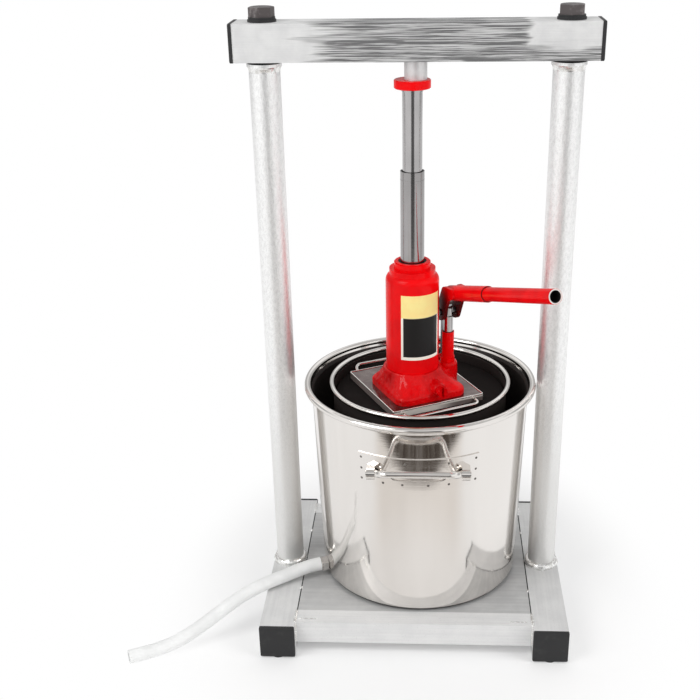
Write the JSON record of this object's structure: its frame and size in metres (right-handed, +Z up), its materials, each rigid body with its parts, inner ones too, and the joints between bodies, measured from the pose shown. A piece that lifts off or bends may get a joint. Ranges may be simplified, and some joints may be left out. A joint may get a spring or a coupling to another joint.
{
  "type": "hydraulic fruit press",
  "caption": "Bench fruit press: a bottle jack braced under a bolted beam drives a plate into a perforated basket inside a polished steel barrel with bail handles and a drain hose.",
  "frame": {"origin": "on the floor, midway between the two columns", "axes": "+Z up, +X to the right and +Y to the back, seen from the front where the barrel's handle and the jack's label face"},
  "size_m": [0.5244, 0.3539, 0.7088],
  "materials": {
    "rail_steel": "silver painted steel, satin",
    "column_steel": "mottled galvanised steel",
    "weld_metal": "bright weld bead",
    "beam_steel": "silver steel with dark drawn streaks",
    "black_cap": "moulded satin plastic",
    "black_rubber": "matt rubber",
    "dark_bolt": "blackened steel",
    "polished_stainless": "mirror polished stainless steel",
    "bright_fitting": "bright turned metal",
    "clear_hose": "milky flexible hose",
    "dull_stainless": "satin stainless steel",
    "red_paint": "glossy red enamel",
    "jack_steel": "plain machined steel",
    "ram_chrome": "ground and polished rod",
    "label_film": "printed film with bare panels"
  },
  "bodies": {
    "root": {"left_rail": "rail_steel", "right_rail": "rail_steel", "rail_end_caps": "black_cap", "rubber_feet": "black_rubber", "front_crossbar": "rail_steel", "rear_crossbar": "rail_steel", "base_plate": "rail_steel", "left_column": "column_steel", "right_column": "column_steel", "column_welds": "weld_metal", "column_plugs": "column_steel", "beam_pads": "black_rubber", "crossbeam": "beam_steel", "beam_end_caps": "black_cap", "beam_bolts": "dark_bolt", "flat_washers": "dark_bolt", "spring_washers": "dark_bolt", "thrust_stub": "column_steel", "outer_barrel": "polished_stainless", "front_handle_plate": "polished_stainless", "rear_handle_plate": "polished_stainless", "drain_spout": "bright_fitting", "spout_nut": "bright_fitting", "drain_hose": "clear_hose", "basket": "dull_stainless"},
    "jack": {"press_plate": "dull_stainless", "jack_seat": "dull_stainless", "seat_handles": "dull_stainless", "jack_base": "red_paint", "jack_reservoir": "red_paint", "pressure_cylinder": "jack_steel", "top_nut": "red_paint", "ram_seal": "black_rubber", "pump_cylinder": "red_paint", "plunger_seal": "black_rubber", "fulcrum_links": "jack_steel", "fulcrum_pins": "jack_steel", "filler_plug": "black_rubber", "check_balls": "jack_steel", "label_panel": "label_film"},
    "outer_ram": {"outer_ram": "ram_chrome", "inner_ram_seal": "black_rubber"},
    "inner_ram": {"inner_ram": "ram_chrome", "saddle": "red_paint"},
    "pump_lever": {"lever_socket": "red_paint"},
    "handle_tube": {"handle_tube": "red_paint"},
    "plunger": {"pump_plunger": "ram_chrome", "plunger_pin": "jack_steel"},
    "release_valve": {"release_valve": "jack_steel"},
    "front_bail": {"front_bail": "polished_stainless"},
    "rear_bail": {"rear_bail": "polished_stainless"}
  },
  "joints": [
    {"name": "press_stroke", "type": "slide", "parent": "root", "child": "jack", "axis": [0, 0, 1], "range_m": [-0.025, 0.085]},
    {"name": "outer_ram_slide", "type": "slide", "parent": "jack", "child": "outer_ram", "axis": [0, 0, 1], "range_m": [-0.085, 0.025]},
    {"name": "inner_ram_slide", "type": "slide", "parent": "outer_ram", "child": "inner_ram", "axis": [0, 0, 1], "range_m": [-0.08, 0]},
    {"name": "pump_lever_swing", "type": "hinge", "parent": "jack", "child": "pump_lever", "pos_m": [0.02828, 0.04004, 0.36451], "axis": [-0.891, -0.454, 0], "range_deg": [-30, 8]},
    {"name": "plunger_slide", "type": "slide", "parent": "jack", "child": "plunger", "axis": [0, 0, 1], "range_m": [-0.0125, 0.0035]},
    {"name": "handle_pull", "type": "slide", "parent": "pump_lever", "child": "handle_tube", "axis": [0.4342, -0.8521, 0.2924], "range_m": [0, 0.03]},
    {"name": "release_valve_turn", "type": "hinge", "parent": "jack", "child": "release_valve", "pos_m": [0.029, -0.03956, 0.2962], "axis": [0.454, -0.891, 0], "range_deg": [0, 180]},
    {"name": "front_bail_swing", "type": "hinge", "parent": "root", "child": "front_bail", "pos_m": [0.005, -0.11375, 0.229], "axis": [-1, 0, 0], "range_deg": [-95, 0]},
    {"name": "rear_bail_swing", "type": "hinge", "parent": "root", "child": "rear_bail", "pos_m": [0.005, 0.13475, 0.229], "axis": [1, 0, 0], "range_deg": [-95, 0]}
  ],
  "couplings": [
    {"joint": "outer_ram_slide", "follows": "press_stroke", "ratio": -1},
    {"joint": "plunger_slide", "follows": "pump_lever_swing", "m_per_rad": 0.02218}
  ]
}
